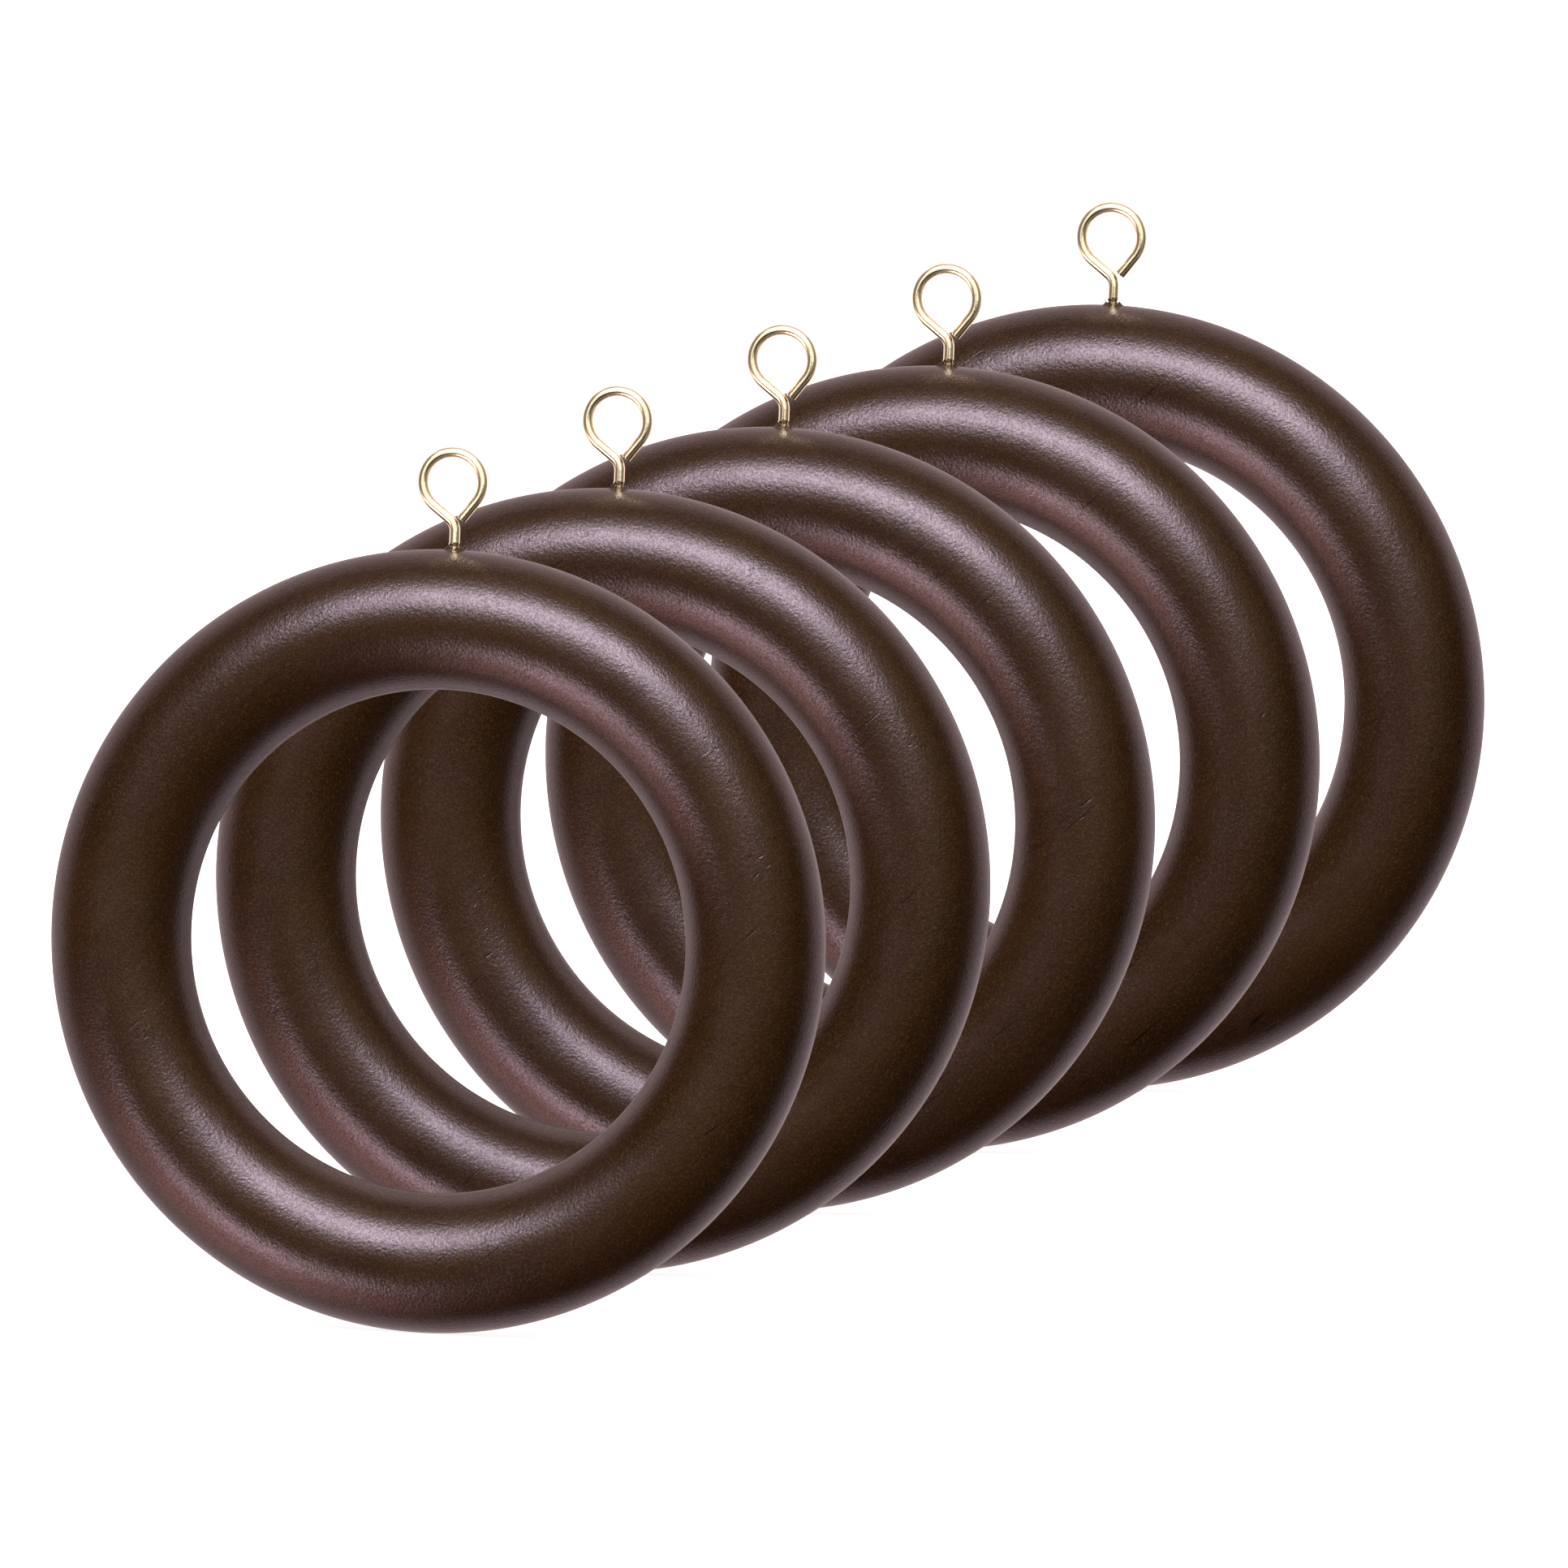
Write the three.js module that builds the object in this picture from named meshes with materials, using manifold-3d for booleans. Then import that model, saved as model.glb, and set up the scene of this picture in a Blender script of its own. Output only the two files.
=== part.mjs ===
// A set of five curtain pole rings. Each is a turned wooden ring of round section with a screw eye
// in its top. Millimetres, +Z up. The rings stand in a row on one pole axis, which runs along +Y. The
// origin is under the middle of the row, level with the rings' lowest points.
import * as THREE from "three";
import { mergeVertices } from "three/addons/utils/BufferGeometryUtils.js";
import Module from "manifold-3d";

// The set.
const RING_COUNT = 5;
const RING_SPACING = 80;

// The wooden ring.
const RING_OUTER_DIAMETER = 70;
const RING_HOLE_DIAMETER = 45;
const RING_SIDES = 48;
const SECTION_SIDES = 16;

// The screw eye's wire, and its bends. The shank's own zero is the wood's surface.
const WIRE_RADIUS = 0.475;
const WIRE_SIDES = 8;
const EYE_RADIUS = 2.7;
const EYE_TURN = THREE.MathUtils.degToRad(270);
const EYE_STEPS = 18;
const PLAIN_WIRE_BOTTOM = 0.17;
const SHANK_HEIGHT = 1.65;
const NECK_RADIUS = 1.4;
const NECK_TURN = THREE.MathUtils.degToRad(52.5);
const NECK_STEPS = 4;
const NECK_STRAIGHT = 1.85;
const TAIL_STRAIGHT = 2;

// The screw thread and its point, below the wood's surface.
const THREAD_ROOT_RADIUS = 0.4;
const THREAD_CREST_RADIUS = 0.6;
const THREAD_PITCH = 1;
const THREAD_TURNS = 7;
const THREAD_SIDES = 8;
const THREAD_TOP = 0.45;
const POINT_LENGTH = 1;

// The pilot hole clears the thread's crest, so that the eye can turn.
const PILOT_CLEARANCE = 0.08;
const PILOT_SPARE_DEPTH = 0.6;
const PILOT_SIDES = 12;

// Worked out from the sizes above. A ring's top is counted from its own centre.
const SECTION_RADIUS = (RING_OUTER_DIAMETER - RING_HOLE_DIAMETER) / 4;
const CENTRELINE_RADIUS = (RING_OUTER_DIAMETER + RING_HOLE_DIAMETER) / 4;
const RING_TOP = RING_OUTER_DIAMETER / 2;
const THREAD_BOTTOM = THREAD_TOP - THREAD_PITCH * THREAD_TURNS;
const POINT_BOTTOM = THREAD_BOTTOM - POINT_LENGTH;

const wasm = await Module();
wasm.setup();

function solidFrom(geometry) {
  const bare = geometry.clone();
  bare.deleteAttribute("normal");
  bare.deleteAttribute("uv");
  const merged = mergeVertices(bare);
  return new wasm.Manifold(
    new wasm.Mesh({
      numProp: 3,
      vertProperties: new Float32Array(merged.attributes.position.array),
      triVerts: new Uint32Array(merged.index.array),
    }),
  );
}

function geometryFrom(solid) {
  const { vertProperties, triVerts } = solid.getMesh();
  const geometry = new THREE.BufferGeometry();
  geometry.setAttribute("position", new THREE.BufferAttribute(vertProperties, 3));
  geometry.setIndex(new THREE.BufferAttribute(triVerts, 1));
  geometry.computeVertexNormals();
  return geometry;
}

// The radius of a regular polygon's corners, when its flats touch a circle of this radius.
function cornerRadius(radius, sides) {
  return radius / Math.cos(Math.PI / sides);
}

// A closed outline with flats facing both ways along both of its axes.
function flatSidedCircle(radius, sides) {
  const corners = [];
  for (let i = 0; i <= sides; i += 1) {
    const angle = (2 * Math.PI * (i + 0.5)) / sides;
    const corner = new THREE.Vector2(Math.cos(angle), Math.sin(angle));
    corners.push(corner.multiplyScalar(cornerRadius(radius, sides)));
  }
  return corners;
}

// The ring turns about Y. A flat of every band of its surface is centred on +Z and on +X.
function woodenRing() {
  const widen = cornerRadius(1, RING_SIDES);
  const profile = flatSidedCircle(SECTION_RADIUS, SECTION_SIDES).map(
    (corner) => new THREE.Vector2((CENTRELINE_RADIUS + corner.x) * widen, corner.y),
  );
  const halfStep = Math.PI / RING_SIDES;
  const turned = new THREE.LatheGeometry(profile, RING_SIDES, halfStep);
  return solidFrom(turned).subtract(pilotHole());
}

// Drilled from the top of the ring towards its centre, and blind.
function pilotHole() {
  const radius = cornerRadius(THREAD_CREST_RADIUS + PILOT_CLEARANCE, PILOT_SIDES);
  const depth = PILOT_SPARE_DEPTH - POINT_BOTTOM;
  const aboveSurface = 1;
  const length = depth + aboveSurface;
  const drill = new THREE.CylinderGeometry(radius, radius, length, PILOT_SIDES);
  drill.rotateX(Math.PI / 2);
  drill.translate(0, 0, RING_TOP - depth + length / 2);
  return solidFrom(drill);
}

// The centreline of a bent wire in the XZ plane, from straight stretches and round bends. A
// stretch's turn is positive to the left. Steps are shared out by stretch, not by length.
class WireCentreline extends THREE.Curve {
  constructor(start, heading, stretches) {
    super();
    this.steps = 0;
    this.stretches = [];
    let from = start;
    let angle = heading;
    for (const { length, turn = 0, steps = 1 } of stretches) {
      const stretch = { from, angle, length, turn, steps, firstStep: this.steps };
      this.stretches.push(stretch);
      this.steps += steps;
      from = this.pointOn(stretch, 1);
      angle += turn;
    }
  }

  pointOn({ from, angle, length, turn }, share) {
    const heading = angle + (turn * share) / 2;
    const half = (turn * share) / 2;
    const chord = length * share * (half ? Math.sin(half) / half : 1);
    const x = from.x + chord * Math.cos(heading);
    const z = from.z + chord * Math.sin(heading);
    return new THREE.Vector3(x, 0, z);
  }

  stretchAt(t) {
    const step = t * this.steps;
    const stretch = this.stretches.findLast(({ firstStep }) => firstStep <= step + 1e-9);
    return { stretch, share: (step - stretch.firstStep) / stretch.steps };
  }

  getPoint(t) {
    const { stretch, share } = this.stretchAt(t);
    return this.pointOn(stretch, share);
  }

  getTangent(t) {
    const { stretch, share } = this.stretchAt(t);
    const heading = stretch.angle + stretch.turn * share;
    return new THREE.Vector3(Math.cos(heading), 0, Math.sin(heading));
  }

  getPointAt(t) {
    return this.getPoint(t);
  }

  getTangentAt(t) {
    return this.getTangent(t);
  }
}

// Up the shank, left through the neck, clockwise round the eye and down to the cut end.
function bentWire() {
  const lowerEnd = new THREE.Vector3(0, 0, PLAIN_WIRE_BOTTOM);
  const upwards = Math.PI / 2;
  const centreline = new WireCentreline(lowerEnd, upwards, [
    { length: SHANK_HEIGHT - PLAIN_WIRE_BOTTOM },
    { length: NECK_RADIUS * NECK_TURN, turn: NECK_TURN, steps: NECK_STEPS },
    { length: NECK_STRAIGHT },
    { length: EYE_RADIUS * EYE_TURN, turn: -EYE_TURN, steps: EYE_STEPS },
    { length: TAIL_STRAIGHT },
  ]);
  const section = new THREE.Shape(flatSidedCircle(WIRE_RADIUS, WIRE_SIDES));
  const wire = new THREE.ExtrudeGeometry(section, {
    steps: centreline.steps,
    extrudePath: centreline,
    bevelEnabled: false,
  });
  return solidFrom(wire);
}

// A straight path up the shank whose frames turn once in each pitch, so that a section with one
// raised corner sweeps out a right-hand thread.
class ThreadAxis extends THREE.LineCurve3 {
  computeFrenetFrames(segments) {
    const frames = { tangents: [], normals: [], binormals: [] };
    for (let i = 0; i <= segments; i += 1) {
      const angle = (2 * Math.PI * THREAD_TURNS * i) / segments;
      frames.tangents.push(new THREE.Vector3(0, 0, 1));
      frames.normals.push(new THREE.Vector3(Math.cos(angle), Math.sin(angle), 0));
      frames.binormals.push(new THREE.Vector3(-Math.sin(angle), Math.cos(angle), 0));
    }
    return frames;
  }
}

function thread() {
  const corners = [];
  for (let i = 0; i < THREAD_SIDES; i += 1) {
    const angle = (2 * Math.PI * i) / THREAD_SIDES;
    const radius = i === 0 ? THREAD_CREST_RADIUS : THREAD_ROOT_RADIUS;
    corners.push(new THREE.Vector2(radius * Math.cos(angle), radius * Math.sin(angle)));
  }
  const bottom = new THREE.Vector3(0, 0, THREAD_BOTTOM);
  const top = new THREE.Vector3(0, 0, THREAD_TOP);
  const swept = new THREE.ExtrudeGeometry(new THREE.Shape(corners), {
    steps: THREAD_TURNS * THREAD_SIDES,
    extrudePath: new ThreadAxis(bottom, top),
    bevelEnabled: false,
  });
  return solidFrom(swept);
}

// The gimlet point: a cone that starts inside the end of the thread.
function gimletPoint() {
  const length = POINT_LENGTH + THREAD_PITCH;
  const cone = new THREE.ConeGeometry(THREAD_ROOT_RADIUS * 0.9, length, THREAD_SIDES);
  cone.rotateX(-Math.PI / 2);
  cone.translate(0, 0, POINT_BOTTOM + length / 2);
  return solidFrom(cone);
}

function screwEye() {
  return bentWire().add(thread()).add(gimletPoint());
}

const lacqueredWood = new THREE.MeshStandardMaterial({
  color: 0x3a2419,
  roughness: 0.35,
  metalness: 0,
});
const brassPlate = new THREE.MeshStandardMaterial({
  color: 0xe0bc74,
  roughness: 0.12,
  metalness: 1,
});

const ringGeometry = geometryFrom(woodenRing());
const eyeGeometry = geometryFrom(screwEye());

// One ring and its screw eye, as they leave the workshop.
function curtainRing(number) {
  const ring = new THREE.Mesh(ringGeometry, lacqueredWood.clone());
  ring.name = `wooden_ring_${number}`;
  const eye = new THREE.Mesh(eyeGeometry, brassPlate.clone());
  eye.name = `screw_eye_${number}`;
  eye.position.z = RING_TOP;
  const pair = new THREE.Group();
  pair.add(ring, eye);
  return pair;
}

const set = new THREE.Group();
const poleHeight = RING_TOP;
const firstRingY = (-RING_SPACING * (RING_COUNT - 1)) / 2;
for (let i = 0; i < RING_COUNT; i += 1) {
  const pair = curtainRing(i + 1);
  pair.position.set(0, firstRingY + i * RING_SPACING, poleHeight);
  set.add(pair);
}

export default set;
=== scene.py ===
import math
import random

import bmesh
import bpy
from mathutils import Matrix, Vector


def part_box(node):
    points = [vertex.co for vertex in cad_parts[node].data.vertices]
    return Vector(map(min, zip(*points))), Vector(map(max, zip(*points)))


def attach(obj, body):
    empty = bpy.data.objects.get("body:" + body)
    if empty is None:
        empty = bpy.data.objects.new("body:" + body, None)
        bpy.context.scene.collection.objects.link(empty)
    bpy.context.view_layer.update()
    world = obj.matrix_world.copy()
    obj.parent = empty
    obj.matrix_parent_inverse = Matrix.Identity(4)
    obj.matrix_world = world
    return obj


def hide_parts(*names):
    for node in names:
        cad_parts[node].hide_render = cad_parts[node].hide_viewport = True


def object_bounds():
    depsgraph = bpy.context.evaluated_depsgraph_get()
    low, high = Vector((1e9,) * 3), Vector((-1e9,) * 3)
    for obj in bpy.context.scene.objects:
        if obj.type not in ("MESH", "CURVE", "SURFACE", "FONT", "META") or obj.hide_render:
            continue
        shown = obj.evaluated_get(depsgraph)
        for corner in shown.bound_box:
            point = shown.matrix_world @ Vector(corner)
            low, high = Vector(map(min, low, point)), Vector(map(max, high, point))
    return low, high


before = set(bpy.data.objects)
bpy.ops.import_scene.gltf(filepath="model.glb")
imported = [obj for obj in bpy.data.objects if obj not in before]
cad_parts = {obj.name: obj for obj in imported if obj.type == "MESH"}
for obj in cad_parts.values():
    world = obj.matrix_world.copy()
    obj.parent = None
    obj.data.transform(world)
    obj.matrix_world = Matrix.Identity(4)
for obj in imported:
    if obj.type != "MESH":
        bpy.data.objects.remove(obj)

cad_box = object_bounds()

MM = 0.001
RING_NUMBERS = range(1, 6)

# The wooden ring. Angles round the ring start at its top, and angles round its section start at
# the outside.
AROUND_STEPS = 384
SECTION_STEPS = 96

# The polar patch at the top of the ring that holds the screw eye's hole, in grid steps each way.
PATCH_AROUND = 8
PATCH_SECTION = 11
PATCH_LOOPS = 8
HOLE_RADIUS = 0.64 * MM
HOLE_DEPTH = 8.15 * MM
LIP_RADIUS = 1.15 * MM
LIP_HEIGHT = 0.30 * MM
LIP_LOOPS = 10
WALL_DEPTHS = (0.1 * MM, 0.4 * MM, 1.5 * MM, HOLE_DEPTH)

# The screw eye's wire and its bends, as in the CAD model. Heights are from the wood's surface.
WIRE_RADIUS = 0.475 * MM
WIRE_SIDES = 40
WIRE_STEP = 0.09 * MM
EYE_RADIUS = 2.7 * MM
EYE_TURN = math.radians(270)
SHANK_HEIGHT = 1.65 * MM
NECK_RADIUS = 1.4 * MM
NECK_TURN = math.radians(52.5)
NECK_STRAIGHT = 1.85 * MM
TAIL_STRAIGHT = 2 * MM
CUT_BEVEL = 0.05 * MM

# The rolled thread and its gimlet point.
THREAD_ROOT = 0.4 * MM
THREAD_CREST = 0.6 * MM
THREAD_PITCH = 1 * MM
THREAD_TOP = 0.62 * MM
THREAD_RUNOUT = 0.18 * MM
RIDGE_WIDTH = 0.42
RIDGE_SHARPNESS = 1.3
# How far the thread's grooves are darkened: painted shade in the grooves.
GROOVE_PAINTED_SHADE = 0.6
POINT_BOTTOM = -7.55 * MM
POINT_LENGTH = 2 * MM
POINT_BLUNTNESS = 0.06

# The camera looks along the row from slightly to the right and above, tilted about its own axis.
CAMERA_AZIMUTH = math.radians(10.4)
CAMERA_ELEVATION = math.radians(4.4)
CAMERA_ROLL = math.radians(2.3)
PICTURE_WIDTH = 139.7 * MM
PICTURE_RIGHT_OF_RING = 30.78 * MM
PICTURE_ABOVE_RING = 14.01 * MM
HOME_DISTANCE = 3.0

# A camera that circles the row stands this many diagonals of the row's box away from its middle, and
# takes in a picture this many diagonals wide.
CIRCLING_DISTANCE = 1.32
CIRCLING_WIDTH = 1.03

# The panels that light the screw eyes, and the floor. Metres.
PANEL_DISTANCE = 2.0
FLOOR_HALF_WIDTH = 12


# ---------------------------------------------------------------- node trees

def node(tree, kind, inputs=None, **settings):
    """Adds a node. An input's value is a number, a tuple or another node's output."""
    made = tree.nodes.new(kind)
    for name, value in settings.items():
        setattr(made, name, value)
    for name, value in (inputs or {}).items():
        if isinstance(value, bpy.types.NodeSocket):
            tree.links.new(value, made.inputs[name])
        else:
            made.inputs[name].default_value = value
    return made


def maths(tree, operation, *values):
    inputs = dict(enumerate(values))
    return node(tree, "ShaderNodeMath", inputs, operation=operation).outputs[0]


def dot(tree, vector, direction):
    inputs = {0: vector, 1: tuple(direction)}
    return node(tree, "ShaderNodeVectorMath", inputs, operation="DOT_PRODUCT").outputs["Value"]


def ramp(tree, value, start, end, low=0.0, high=1.0):
    """Goes smoothly from low to high as value goes from start to end."""
    inputs = {"Value": value, "From Min": start, "From Max": end, "To Min": low, "To Max": high}
    made = node(tree, "ShaderNodeMapRange", inputs, interpolation_type="SMOOTHSTEP")
    return made.outputs["Result"]


def blend_colours(tree, share, first, second, mode="MIX"):
    made = node(tree, "ShaderNodeMix", data_type="RGBA", blend_type=mode)
    for socket, value in ((made.inputs[0], share), (made.inputs[6], first), (made.inputs[7], second)):
        if isinstance(value, bpy.types.NodeSocket):
            tree.links.new(value, socket)
        else:
            socket.default_value = value
    return made.outputs[2]


def noise(tree, vector, size, detail=2.0, roughness=0.5):
    """A noise whose features are about this size, in metres."""
    inputs = {"Vector": vector, "Scale": 1 / size, "Detail": detail, "Roughness": roughness}
    return node(tree, "ShaderNodeTexNoise", inputs).outputs["Fac"]


def placed(tree, vector, location=(0, 0, 0), rotation=(0, 0, 0), scale=(1, 1, 1)):
    inputs = {"Vector": vector, "Location": location, "Rotation": rotation, "Scale": scale}
    return node(tree, "ShaderNodeMapping", inputs).outputs["Vector"]


def bump(tree, height, depth, normal=None):
    inputs = {"Height": height, "Distance": depth, "Strength": 1.0}
    if normal is not None:
        inputs["Normal"] = normal
    return node(tree, "ShaderNodeBump", inputs).outputs["Normal"]


def new_material(name):
    material = bpy.data.materials.new(name)
    material.use_nodes = True
    tree = material.node_tree
    tree.nodes.clear()
    surface = node(tree, "ShaderNodeBsdfPrincipled")
    output = node(tree, "ShaderNodeOutputMaterial")
    tree.links.new(surface.outputs[0], output.inputs["Surface"])
    return material, tree, surface


def feed(tree, shader, **values):
    """Sets a shader's inputs. An underscore in a name stands for a space."""
    for name, value in values.items():
        socket = shader.inputs[name.replace("_", " ")]
        if isinstance(value, bpy.types.NodeSocket):
            tree.links.new(value, socket)
        else:
            socket.default_value = value


# ---------------------------------------------------------------- lacquered wood

# A feature's size is its size across the grain. A LONG scale stretches it along the grain.
GRAIN_ANGLE = math.radians(42)
FIGURE_SIZE = 7 * MM
FIGURE_LONG = (0.12, 1, 1)
FIBRE_SIZE = 0.7 * MM
FIBRE_LONG = (0.04, 1, 1)
PORE_SIZE = 0.42 * MM
PORE_LONG = (0.045, 1, 1)
PORE_GROUP_SIZE = 5 * MM
PORE_GROUP_LONG = (0.3, 1, 1)
PORE_DEPTH = 0.012 * MM
FLECK_SIZE = 0.19 * MM
PEEL_SIZE = 0.28 * MM
PEEL_DEPTH = 0.036 * MM
GRIT_SIZE = 0.20 * MM
WAVE_SIZE = 3 * MM
WAVE_DEPTH = 0.03 * MM
SHEEN_PATCH_SIZE = 6 * MM
DARK_BROWN = (0.0115, 0.0048, 0.0013, 1)
WARM_BROWN = (0.0170, 0.0072, 0.0020, 1)
FLECK_BROWN = (0.033, 0.0165, 0.0050, 1)
PORE_BROWN = (0.004, 0.002, 0.001, 1)


def lacquered_wood(number):
    """Straight-grained wood, stained dark and sprayed with a satin lacquer that follows the pores.
    Each ring is cut from another place in the wood."""
    material, tree, surface = new_material(f"lacquered_wood_{number}")
    place = node(tree, "ShaderNodeTexCoord").outputs["Object"]
    offset = (number * 0.31, number * 0.17, number * 0.23)
    along_grain = placed(tree, place, location=offset, rotation=(0, GRAIN_ANGLE, 0))

    figure = noise(tree, placed(tree, along_grain, scale=FIGURE_LONG), FIGURE_SIZE, 3)
    fibres = noise(tree, placed(tree, along_grain, scale=FIBRE_LONG), FIBRE_SIZE, 3)
    figure_share = maths(tree, "MULTIPLY", figure, 0.6)
    tone = maths(tree, "ADD", figure_share, maths(tree, "MULTIPLY", fibres, 0.4))
    stain = blend_colours(tree, ramp(tree, tone, 0.35, 0.65), DARK_BROWN, WARM_BROWN)

    pore_shapes = noise(tree, placed(tree, along_grain, scale=PORE_LONG), PORE_SIZE, 1)
    pore_groups = noise(tree, placed(tree, along_grain, scale=PORE_GROUP_LONG), PORE_GROUP_SIZE, 1)
    grouped = ramp(tree, pore_groups, 0.5, 0.62)
    pores = maths(tree, "MULTIPLY", ramp(tree, pore_shapes, 0.66, 0.74), grouped)
    flecks = noise(tree, place, FLECK_SIZE, 2, 0.6)
    flecked = blend_colours(tree, ramp(tree, flecks, 0.47, 0.72), stain, FLECK_BROWN)
    colour = blend_colours(tree, pores, flecked, PORE_BROWN)

    orange_peel = noise(tree, place, PEEL_SIZE, 3, 0.6)
    grit = noise(tree, placed(tree, place, location=offset), GRIT_SIZE, 2, 0.6)
    waves = noise(tree, place, WAVE_SIZE, 1)
    normal = bump(tree, waves, WAVE_DEPTH)
    normal = bump(tree, orange_peel, PEEL_DEPTH, normal)
    normal = bump(tree, maths(tree, "SUBTRACT", 1.0, pores), PORE_DEPTH, normal)

    patches = noise(tree, place, SHEEN_PATCH_SIZE, 3)
    roughness = ramp(tree, patches, 0.3, 0.7, 0.26, 0.31)
    feed(
        tree, surface,
        Base_Color=colour,
        Roughness=roughness,
        IOR=1.5,
        Specular_IOR_Level=ramp(tree, grit, 0.35, 0.65, 0.36, 0.64),
        Specular_Tint=(1.0, 0.82, 0.94, 1),
        Normal=normal,
    )
    return material


# ---------------------------------------------------------------- brass plate

BRASS = (0.90, 0.75, 0.53, 1)
# Dark brass for random tarnish patches and for painted shade in the thread's grooves.
TARNISH_AND_SHADE = (0.55, 0.36, 0.15, 1)
LINE_SIZE = 0.05 * MM
LINE_LONG = (0.03, 1, 1)
LINE_DEPTH = 0.0012 * MM
DIMPLE_SIZE = 0.25 * MM
DIMPLE_DEPTH = 0.006 * MM
WEAR_SIZE = 1.2 * MM


def brass_plate():
    """Bright plate over drawn wire: fine lines along the wire, random tarnish patches, and painted shade
    in the thread's grooves in the same dark colour.
    """
    material, tree, surface = new_material("brass_plate")
    along = node(tree, "ShaderNodeAttribute", attribute_name="along_wire").outputs["Fac"]
    around = node(tree, "ShaderNodeAttribute", attribute_name="round_wire").outputs["Fac"]
    groove = node(tree, "ShaderNodeAttribute", attribute_name="groove_painted_shade").outputs["Fac"]
    place = node(tree, "ShaderNodeTexCoord").outputs["Object"]
    unrolled = node(tree, "ShaderNodeCombineXYZ", {"X": along, "Y": around}).outputs["Vector"]

    lines = noise(tree, placed(tree, unrolled, scale=LINE_LONG), LINE_SIZE, 3)
    dimples = noise(tree, place, DIMPLE_SIZE, 2)
    wear = ramp(tree, noise(tree, place, WEAR_SIZE, 3), 0.5, 0.75, 0.0, 0.35)
    # The dark colour goes on random tarnish patches and, as painted shade, into the thread's grooves.
    colour = blend_colours(tree, maths(tree, "MAXIMUM", wear, groove), BRASS, TARNISH_AND_SHADE)
    normal = bump(tree, dimples, DIMPLE_DEPTH)
    normal = bump(tree, lines, LINE_DEPTH, normal)
    feed(
        tree, surface,
        Base_Color=colour,
        Metallic=1.0,
        Roughness=ramp(tree, lines, 0.3, 0.7, 0.14, 0.22),
        Normal=normal,
    )
    return material


# ---------------------------------------------------------------- the wooden ring

def ring_sizes():
    """The ring's centreline radius and section radius, from its CAD node."""
    low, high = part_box("wooden_ring_1")
    section_radius = (high.y - low.y) / 2
    return (high.z - low.z) / 2 - section_radius, section_radius


CENTRELINE_RADIUS, SECTION_RADIUS = ring_sizes()
RING_TOP = CENTRELINE_RADIUS + SECTION_RADIUS


def ring_point(around, section):
    out = CENTRELINE_RADIUS + SECTION_RADIUS * math.cos(section)
    return Vector((out * math.sin(around), SECTION_RADIUS * math.sin(section), out * math.cos(around)))


def top_height(x, y):
    """The height of the ring's top surface over a point near its crown."""
    out = CENTRELINE_RADIUS + math.sqrt(SECTION_RADIUS ** 2 - y ** 2)
    return math.sqrt(out ** 2 - x ** 2)


def patch_border():
    """The grid places round the patch's edge, anticlockwise as seen from above the ring."""
    a, s = PATCH_AROUND, PATCH_SECTION
    border = [(a, j) for j in range(-s, s)]
    border += [(i, s) for i in range(a, -a, -1)]
    border += [(-a, j) for j in range(s, -s, -1)]
    border += [(i, -s) for i in range(-a, a)]
    return border


def waviness(chance, lobes):
    """A smooth random outline: returns a function of angle with values from about 0 to 1."""
    waves = [(count, chance.uniform(0, 2 * math.pi)) for count in lobes]

    def height(angle):
        total = sum(math.sin(count * angle + shift) for count, shift in waves)
        return 0.5 + total / (2 * len(waves))

    return height


def lip_heights(chance):
    """Returns how far the torn lacquer stands up, by the angle round the hole and by the share of the
    way in to the hole's edge. It is taller at the ring's own left and right."""
    tall = waviness(chance, (5, 9, 14, 22))
    wide = waviness(chance, (4, 7, 13))

    def height(angle, share):
        reach = 0.35 + 0.65 * wide(angle)
        raised = max(0.0, 1 - (1 - share) / reach)
        sides = 0.45 + 0.55 * math.cos(angle) ** 2
        return LIP_HEIGHT * (0.3 + 1.4 * tall(angle)) * sides * raised ** 1.5

    return height


def add_band(mesh, outer, inner):
    """Joins two loops of vertices with quads."""
    count = len(outer)
    for k in range(count):
        following = (k + 1) % count
        mesh.faces.new((outer[k], outer[following], inner[following], inner[k]))


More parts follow.
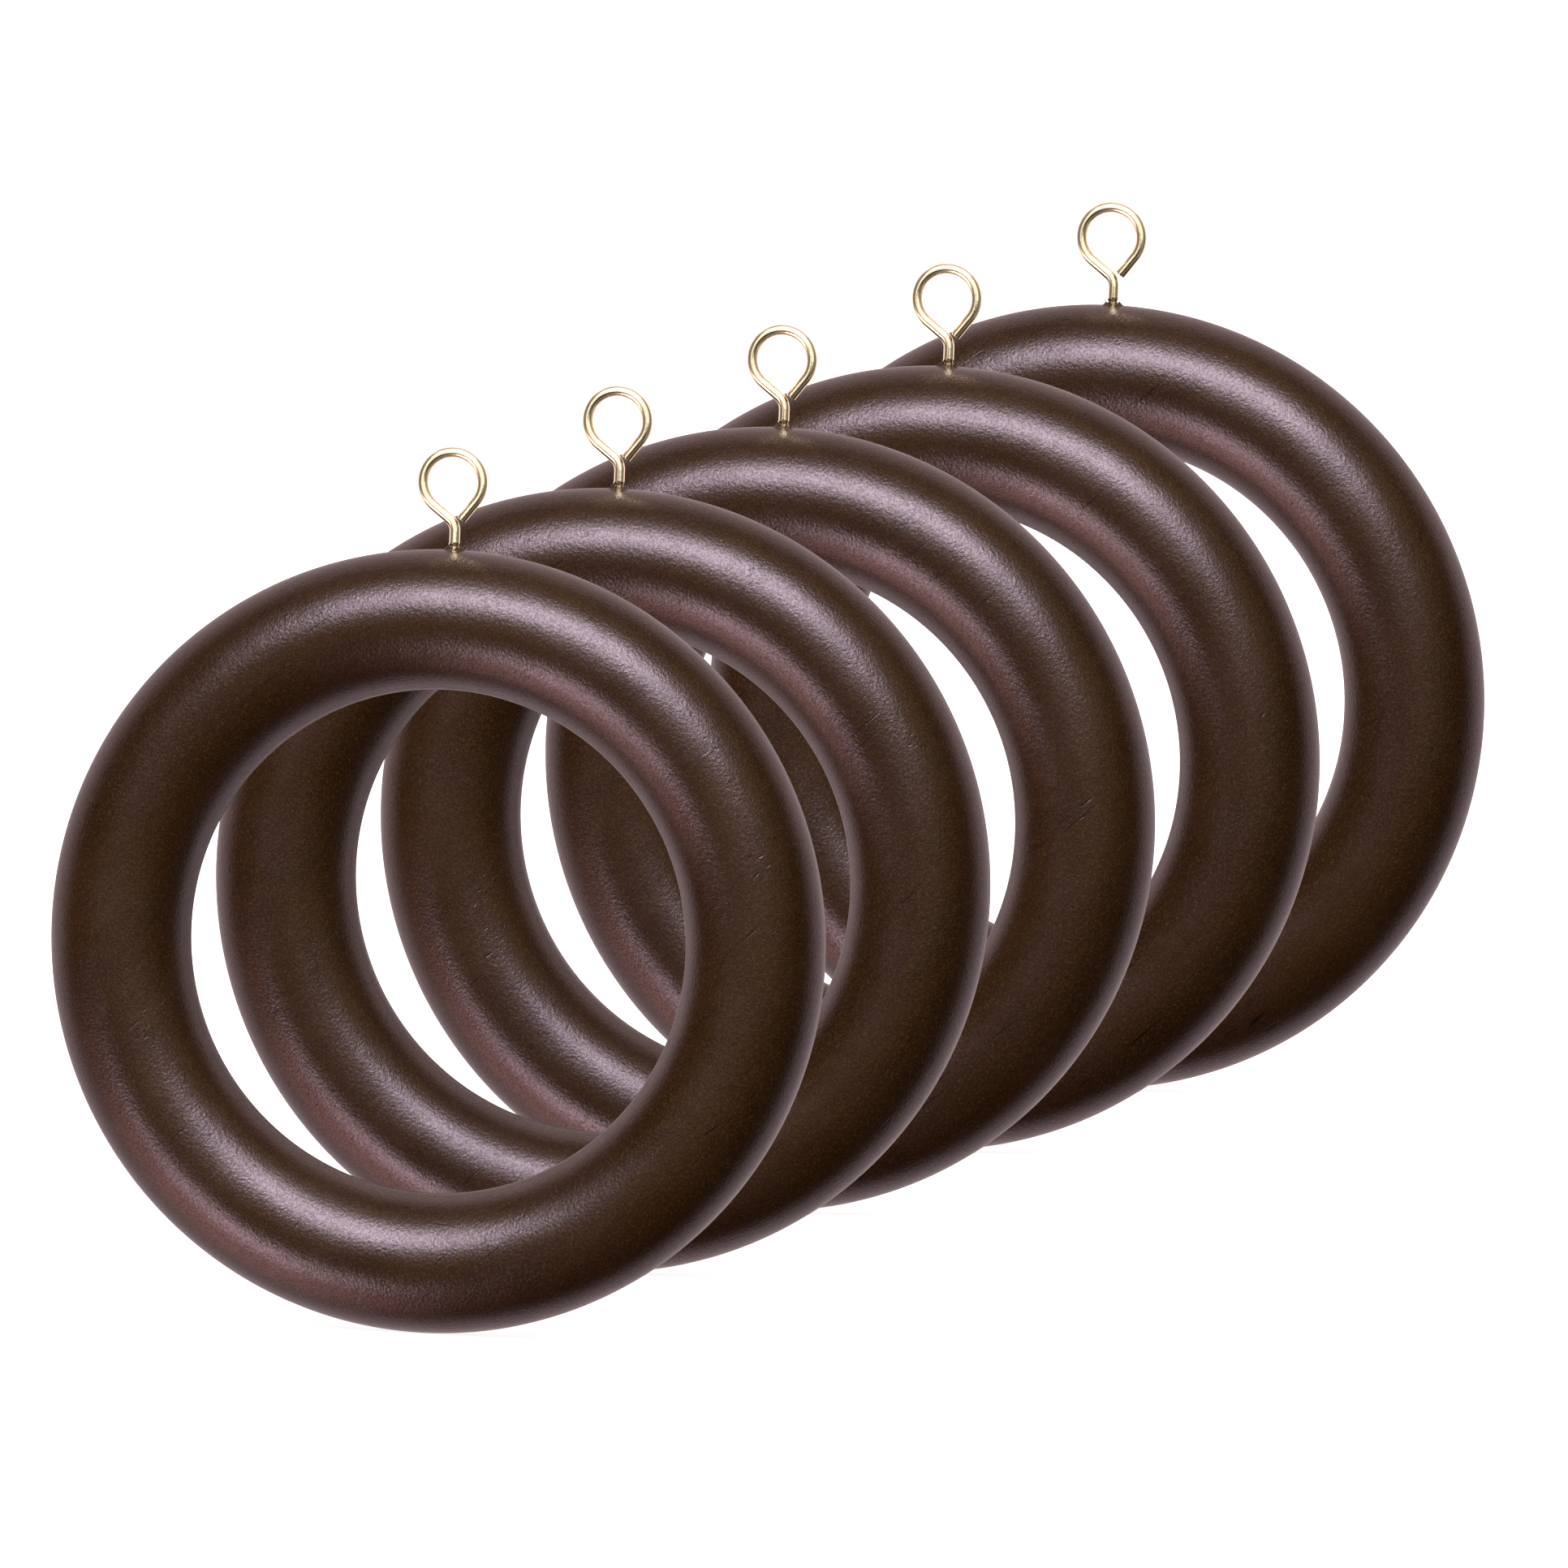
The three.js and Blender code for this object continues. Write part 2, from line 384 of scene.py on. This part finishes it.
def ring_mesh(number):
    chance = random.Random(number)
    mesh = bmesh.new()
    grid = {}

    def corner(i, j):
        key = (i % AROUND_STEPS, j % SECTION_STEPS)
        if key not in grid:
            around = 2 * math.pi * key[0] / AROUND_STEPS
            section = 2 * math.pi * key[1] / SECTION_STEPS
            grid[key] = mesh.verts.new(ring_point(around, section))
        return grid[key]

    half_around, half_section = AROUND_STEPS // 2, SECTION_STEPS // 2
    for i in range(-half_around, half_around):
        for j in range(-half_section, half_section):
            in_patch = -PATCH_AROUND <= i < PATCH_AROUND and -PATCH_SECTION <= j < PATCH_SECTION
            if not in_patch:
                mesh.faces.new((corner(i, j), corner(i, j + 1), corner(i + 1, j + 1), corner(i + 1, j)))

    border = [corner(i, j) for i, j in patch_border()]
    count = len(border)
    start = math.atan2(border[0].co.y, border[0].co.x)
    angles = [start + 2 * math.pi * k / count for k in range(count)]

    def loop_at(places):
        return [mesh.verts.new(place) for place in places]

    # From the grid's edge in to the torn lip.
    previous = border
    for step in range(1, PATCH_LOOPS + 1):
        share = step / PATCH_LOOPS
        places = []
        for vertex, angle in zip(border, angles):
            x = (1 - share) * vertex.co.x + share * LIP_RADIUS * math.cos(angle)
            y = (1 - share) * vertex.co.y + share * LIP_RADIUS * math.sin(angle)
            places.append((x, y, top_height(x, y)))
        current = loop_at(places)
        add_band(mesh, previous, current)
        previous = current

    # The lip, which rises towards the hole.
    height = lip_heights(chance)
    for step in range(1, LIP_LOOPS + 1):
        share = step / LIP_LOOPS
        radius = LIP_RADIUS + share * (HOLE_RADIUS - LIP_RADIUS)
        places = []
        for angle in angles:
            x, y = radius * math.cos(angle), radius * math.sin(angle)
            places.append((x, y, top_height(x, y) + height(angle, share)))
        current = loop_at(places)
        add_band(mesh, previous, current)
        previous = current

    # The hole's wall and bottom.
    for depth in WALL_DEPTHS:
        height_here = RING_TOP - depth
        circle = [(HOLE_RADIUS * math.cos(angle), HOLE_RADIUS * math.sin(angle)) for angle in angles]
        current = loop_at([(x, y, height_here) for x, y in circle])
        add_band(mesh, previous, current)
        previous = current
    mesh.faces.new(previous)

    bmesh.ops.recalc_face_normals(mesh, faces=mesh.faces)
    for face in mesh.faces:
        face.smooth = True
    data = bpy.data.meshes.new(f"ring_mesh_{number}")
    mesh.to_mesh(data)
    mesh.free()
    return data


# ---------------------------------------------------------------- the screw eye

def eye_path():
    """The wire's centreline as (distance, place, heading), from the gimlet point to the cut end."""
    stretches = [
        (SHANK_HEIGHT - POINT_BOTTOM, 0),
        (NECK_RADIUS * NECK_TURN, NECK_TURN),
        (NECK_STRAIGHT, 0),
        (EYE_RADIUS * EYE_TURN, -EYE_TURN),
        (TAIL_STRAIGHT, 0),
    ]
    place, heading, distance = Vector((0, 0, POINT_BOTTOM)), math.pi / 2, 0
    path = [(distance, place.copy(), heading)]
    for length, turn in stretches:
        steps = math.ceil(length / WIRE_STEP)
        for _ in range(steps):
            middle = heading + turn / steps / 2
            place = place + Vector((math.cos(middle), 0, math.sin(middle))) * (length / steps)
            heading += turn / steps
            distance += length / steps
            path.append((distance, place.copy(), heading))
    return path


def thread_ridge(height, around):
    """How much of the thread's ridge stands at this height and angle: 0 in the groove, 1 on the crest."""
    turns = height / THREAD_PITCH - around / (2 * math.pi)
    from_crest = abs((turns % 1) - 0.5) * 2
    ridge = max(0.0, 1 - (1 - from_crest) / RIDGE_WIDTH)
    return ridge ** RIDGE_SHARPNESS


def wire_radius(height, around):
    """The wire's radius and its share of painted shade in the thread's grooves, at a height and angle on
    the shank.
    """
    if height > THREAD_TOP:
        return WIRE_RADIUS, 0.0
    ridge = thread_ridge(height, around)
    threaded = THREAD_ROOT + (THREAD_CREST - THREAD_ROOT) * ridge
    share = min(1.0, (THREAD_TOP - height) / THREAD_RUNOUT)
    radius = WIRE_RADIUS + (threaded - WIRE_RADIUS) * share
    taper = min(1.0, (height - POINT_BOTTOM) / POINT_LENGTH)
    # The second value is painted shade, darkest at the bottom of the thread's grooves.
    return radius * max(taper, POINT_BLUNTNESS), share * (1 - ridge) * GROOVE_PAINTED_SHADE


def eye_mesh():
    mesh = bmesh.new()
    along_wire = mesh.verts.layers.float.new("along_wire")
    round_wire = mesh.verts.layers.float.new("round_wire")
    # Painted shade in the thread's grooves, kept on each vertex for the brass material.
    groove_painted_shade = mesh.verts.layers.float.new("groove_painted_shade")

    def section(distance, place, heading, shrink=0.0):
        outward = Vector((math.sin(heading), 0, -math.cos(heading)))
        across = Vector((0, 1, 0))
        loop = []
        for k in range(WIRE_SIDES):
            around = 2 * math.pi * k / WIRE_SIDES
            on_shank = distance < SHANK_HEIGHT - POINT_BOTTOM
            radius, groove = wire_radius(place.z, around) if on_shank else (WIRE_RADIUS, 0.0)
            radius -= shrink
            spoke = outward * math.cos(around) + across * math.sin(around)
            vertex = mesh.verts.new(place + spoke * radius)
            vertex[along_wire] = distance
            vertex[round_wire] = WIRE_RADIUS * min(around, 2 * math.pi - around)
            vertex[groove_painted_shade] = groove
            loop.append(vertex)
        return loop

    path = eye_path()
    loops = [section(*stop) for stop in path]
    distance, place, heading = path[-1]
    onward = Vector((math.cos(heading), 0, math.sin(heading)))
    loops.append(section(distance, place + onward * CUT_BEVEL * 0.7, heading, CUT_BEVEL * 0.3))
    loops.append(section(distance, place + onward * CUT_BEVEL, heading, CUT_BEVEL))
    for lower, upper in zip(loops, loops[1:]):
        add_band(mesh, lower, upper)
    mesh.faces.new(reversed(loops[0]))
    mesh.faces.new(loops[-1])
    bmesh.ops.recalc_face_normals(mesh, faces=mesh.faces)
    for face in mesh.faces:
        face.smooth = len(face.verts) == 4
    data = bpy.data.meshes.new("eye_mesh")
    mesh.to_mesh(data)
    mesh.free()
    return data


# ---------------------------------------------------------------- the set

def add_piece(name, data, place, material, body, cad_node):
    piece = bpy.data.objects.new(name, data)
    piece.location = place
    data.materials.append(material)
    bpy.context.scene.collection.objects.link(piece)
    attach(piece, body)
    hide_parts(cad_node)
    return piece


def ring_centre(number):
    low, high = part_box(f"wooden_ring_{number}")
    return (low + high) / 2


def add_rings():
    """Adds every ring and eye, and returns both lists."""
    plate = brass_plate()
    rings = []
    eyes = []
    for number in RING_NUMBERS:
        centre = ring_centre(number)
        rings.append(add_piece(
            f"lacquered_ring_{number}", ring_mesh(number), centre, lacquered_wood(number),
            f"ring_{number}", f"wooden_ring_{number}",
        ))
        eyes.append(add_piece(
            f"brass_eye_{number}", eye_mesh(), centre + Vector((0, 0, RING_TOP)), plate,
            f"eye_{number}", f"screw_eye_{number}",
        ))
    return rings, eyes


# ---------------------------------------------------------------- camera

def camera_axes():
    """The camera's right, up and backward directions."""
    turn, lift = CAMERA_AZIMUTH, CAMERA_ELEVATION
    back = Vector((math.sin(turn) * math.cos(lift), -math.cos(turn) * math.cos(lift), math.sin(lift)))
    level_right = Vector((math.cos(turn), math.sin(turn), 0))
    tilt = Matrix.Rotation(CAMERA_ROLL, 3, back)
    right = tilt @ level_right
    return right, back.cross(right), back


def add_row_middle(rings, camera):
    """An empty half-way between the first and last rings, wherever they slide, turned as the camera is."""
    middle = bpy.data.objects.new("row_middle", None)
    bpy.context.scene.collection.objects.link(middle)
    for kind, target, influence in (
        ("COPY_LOCATION", rings[0], 1.0),
        ("COPY_LOCATION", rings[-1], 0.5),
        ("COPY_ROTATION", camera, 1.0),
    ):
        follow = middle.constraints.new(kind)
        follow.target = target
        follow.influence = influence
    return middle


def add_camera():
    """A camera without perspective, at home in front of the first ring."""
    right, up, back = camera_axes()
    aim = ring_centre(1) + right * PICTURE_RIGHT_OF_RING + up * PICTURE_ABOVE_RING
    middle = (ring_centre(1) + ring_centre(RING_NUMBERS[-1])) / 2
    aside = middle - aim
    depth = -aside.dot(back)
    off_axis = (aside + back * depth).length

    data = bpy.data.cameras.new("camera")
    data.type = "ORTHO"
    camera = bpy.data.objects.new("camera", data)
    camera.location = aim + back * (math.sqrt(HOME_DISTANCE ** 2 - off_axis ** 2) - depth)
    camera.rotation_mode = "QUATERNION"
    camera.rotation_quaternion = Matrix((right, up, back)).transposed().to_quaternion()
    bpy.context.scene.collection.objects.link(camera)
    bpy.context.scene.camera = camera
    return camera


def picture_widths():
    """The picture's width against the camera's distance from the row's middle plus the row's length.
    The low values are for a camera that circles the row, and the high ones for the camera at home,
    which takes in more when the row is drawn out."""
    rest_length = (ring_centre(RING_NUMBERS[-1]) - ring_centre(1)).length
    box_size = cad_box[1] - cad_box[0]
    widths = []
    for stretch in (0.15, 0.5, 1.0, 1.5):
        row_length = stretch * rest_length
        diagonal = (box_size + Vector((0, row_length - rest_length, 0))).length
        widths.append((CIRCLING_DISTANCE * diagonal + row_length, CIRCLING_WIDTH * diagonal))
    for stretch, widening in ((-1.0, 1.0), (1.0, 1.0), (1.75, 1.4)):
        widths.append((HOME_DISTANCE + stretch * rest_length, widening * PICTURE_WIDTH))
    return widths


def drive_picture_width(camera, middle, rings):
    curve = camera.data.driver_add("ortho_scale")
    curve.driver.type = "SUM"
    for ends in ((camera, middle), (rings[0], rings[-1])):
        gap = curve.driver.variables.new()
        gap.type = "LOC_DIFF"
        gap.targets[0].id, gap.targets[1].id = ends
    for modifier in list(curve.modifiers):
        curve.modifiers.remove(modifier)
    for gaps, width in picture_widths():
        curve.keyframe_points.insert(gaps, width).interpolation = "LINEAR"


# ---------------------------------------------------------------- studio
# The lights turn with the camera, as when an object is turned on a turntable in front of it.
# Directions are in the camera's own axes: x to the right, y up, z back towards the viewer.

def studio_direction(off_axis, clock):
    """A direction this many degrees off the line to the camera, at this many degrees clockwise
    from the top of the picture."""
    off_axis, clock = math.radians(off_axis), math.radians(clock)
    aside = Vector((math.sin(clock), math.cos(clock), 0)) * math.sin(off_axis)
    return aside + Vector((0, 0, math.cos(off_axis)))


def softbox(tree, ray, off_axis, clock, half_width, half_height, edge):
    """1 where a ray meets a soft-edged panel far away in this direction, else 0. The sizes are
    tangents of angles, and the panel stands upright in the picture."""
    direction = studio_direction(off_axis, clock)
    across = direction.cross(Vector((0, 1, 0))).normalized()
    upright = across.cross(direction)
    ahead = dot(tree, ray, direction)
    clamped = maths(tree, "MAXIMUM", ahead, 0.02)
    mask = ramp(tree, ahead, 0.02, 0.1)
    for axis, half in ((across, half_width), (upright, half_height)):
        offset = maths(tree, "ABSOLUTE", maths(tree, "DIVIDE", dot(tree, ray, axis), clamped))
        mask = maths(tree, "MULTIPLY", mask, ramp(tree, offset, half - edge, half + edge, 1.0, 0.0))
    return mask


def glow(tree, ray, off_axis, clock, inner, outer):
    """1 within the inner angle of a direction, fading to 0 at the outer angle, in degrees."""
    ahead = dot(tree, ray, studio_direction(off_axis, clock))
    return ramp(tree, ahead, math.cos(math.radians(outer)), math.cos(math.radians(inner)))


def light_studio():
    """White to the camera. The object is lit and mirrored by soft panels in a dark room instead."""
    world = bpy.data.worlds.new("studio")
    world.use_nodes = True
    bpy.context.scene.world = world
    tree = world.node_tree
    tree.nodes.clear()
    into_picture = node(tree, "ShaderNodeTexCoord").outputs["Camera"]
    ray = placed(tree, into_picture, scale=(1, 1, -1))
    key = softbox(tree, ray, off_axis=38.8, clock=-6, half_width=0.46, half_height=0.25, edge=0.10)
    fill = softbox(tree, ray, off_axis=59.2, clock=226, half_width=0.15, half_height=0.21, edge=0.05)
    reflector = glow(tree, ray, off_axis=84, clock=222, inner=5, outer=35)
    backdrop = glow(tree, ray, off_axis=180, clock=0, inner=60, outer=84)
    front = glow(tree, ray, off_axis=38, clock=11, inner=20, outer=70)
    panels = [
        (key, (1, 1, 1.07), 14.8),
        (fill, (1, 0.86, 0.88), 8.6),
        (reflector, (1, 0.60, 0.54), 2.6),
        (backdrop, (1, 0.78, 0.80), 0.85),
        (front, (1, 0.78, 0.45), 0.62),
    ]
    total = (0.0, 0.0, 0.0)
    for mask, colour, strength in panels:
        shine = node(
            tree, "ShaderNodeVectorMath", {0: tuple(strength * part for part in colour), "Scale": mask},
            operation="SCALE",
        )
        added = node(tree, "ShaderNodeVectorMath", {0: total, 1: shine.outputs[0]}, operation="ADD")
        total = added.outputs[0]
    room = node(tree, "ShaderNodeBackground", {"Color": total, "Strength": 1.0})
    white = node(tree, "ShaderNodeBackground", {"Color": (1, 1, 1, 1), "Strength": 1.0})
    to_camera = node(tree, "ShaderNodeLightPath").outputs["Is Camera Ray"]
    both = node(tree, "ShaderNodeMixShader", {0: to_camera, 1: room.outputs[0], 2: white.outputs[0]})
    output = node(tree, "ShaderNodeOutputWorld")
    tree.links.new(both.outputs[0], output.inputs["Surface"])


def light_eyes(eyes, middle):
    """Large white panels that light only the screw eyes, because polished plate shows what it faces.
    One is bright. The others stand for a dim room, which gives the wire its darker edges. Each is at
    this many degrees off the line to the camera and this many clockwise from the picture's top."""
    receivers = bpy.data.collections.new("lit_by_panels")
    for eye in eyes:
        receivers.objects.link(eye)
    for name, off_axis, clock, size, radiance in (
        ("front_panel", 30, 355, 3.6, 1.2),
        ("top_panel", 100, 0, 3.6, 0.35),
        ("back_panel", 180, 0, 14, 0.28),
        ("left_panel", 90, 270, 5.4, 0.2),
        ("right_panel", 90, 90, 5.4, 0.2),
        ("low_panel", 90, 180, 5.4, 0.2),
    ):
        direction = studio_direction(off_axis, clock)
        light = bpy.data.lights.new(name, "AREA")
        light.shape = "SQUARE"
        light.size = size
        light.energy = radiance * math.pi * size ** 2
        panel = bpy.data.objects.new(name, light)
        panel.parent = middle
        panel.location = direction * PANEL_DISTANCE
        panel.rotation_mode = "QUATERNION"
        panel.rotation_quaternion = direction.to_track_quat("Z", "Y")
        panel.visible_camera = False
        panel.light_linking.receiver_collection = receivers
        bpy.context.scene.collection.objects.link(panel)


def add_floor():
    """A pale floor that takes the rings' soft shadows. It isn't mirrored in the lacquer."""
    mesh = bmesh.new()
    bmesh.ops.create_grid(mesh, x_segments=8, y_segments=8, size=FLOOR_HALF_WIDTH)
    data = bpy.data.meshes.new("floor")
    mesh.to_mesh(data)
    mesh.free()
    floor = bpy.data.objects.new("floor", data)
    bpy.context.scene.collection.objects.link(floor)
    floor.visible_glossy = False
    floor.visible_diffuse = False
    floor.visible_shadow = False
    material = bpy.data.materials.new("floor_paper")
    material.use_nodes = True
    tree = material.node_tree
    tree.nodes.clear()
    paper = node(tree, "ShaderNodeBsdfDiffuse", {"Color": (0.5, 0.5, 0.5, 1)})
    lift = node(tree, "ShaderNodeEmission", {"Color": (1, 1, 1, 1), "Strength": 0.9})
    both = node(tree, "ShaderNodeAddShader", {0: paper.outputs[0], 1: lift.outputs[0]})
    output = node(tree, "ShaderNodeOutputMaterial")
    tree.links.new(both.outputs[0], output.inputs["Surface"])
    data.materials.append(material)


wooden_rings, brass_eyes = add_rings()
home_camera = add_camera()
row_middle = add_row_middle(wooden_rings, home_camera)
drive_picture_width(home_camera, row_middle, wooden_rings)
light_studio()
light_eyes(brass_eyes, row_middle)
add_floor()
bpy.context.scene.view_settings.view_transform = "Standard"
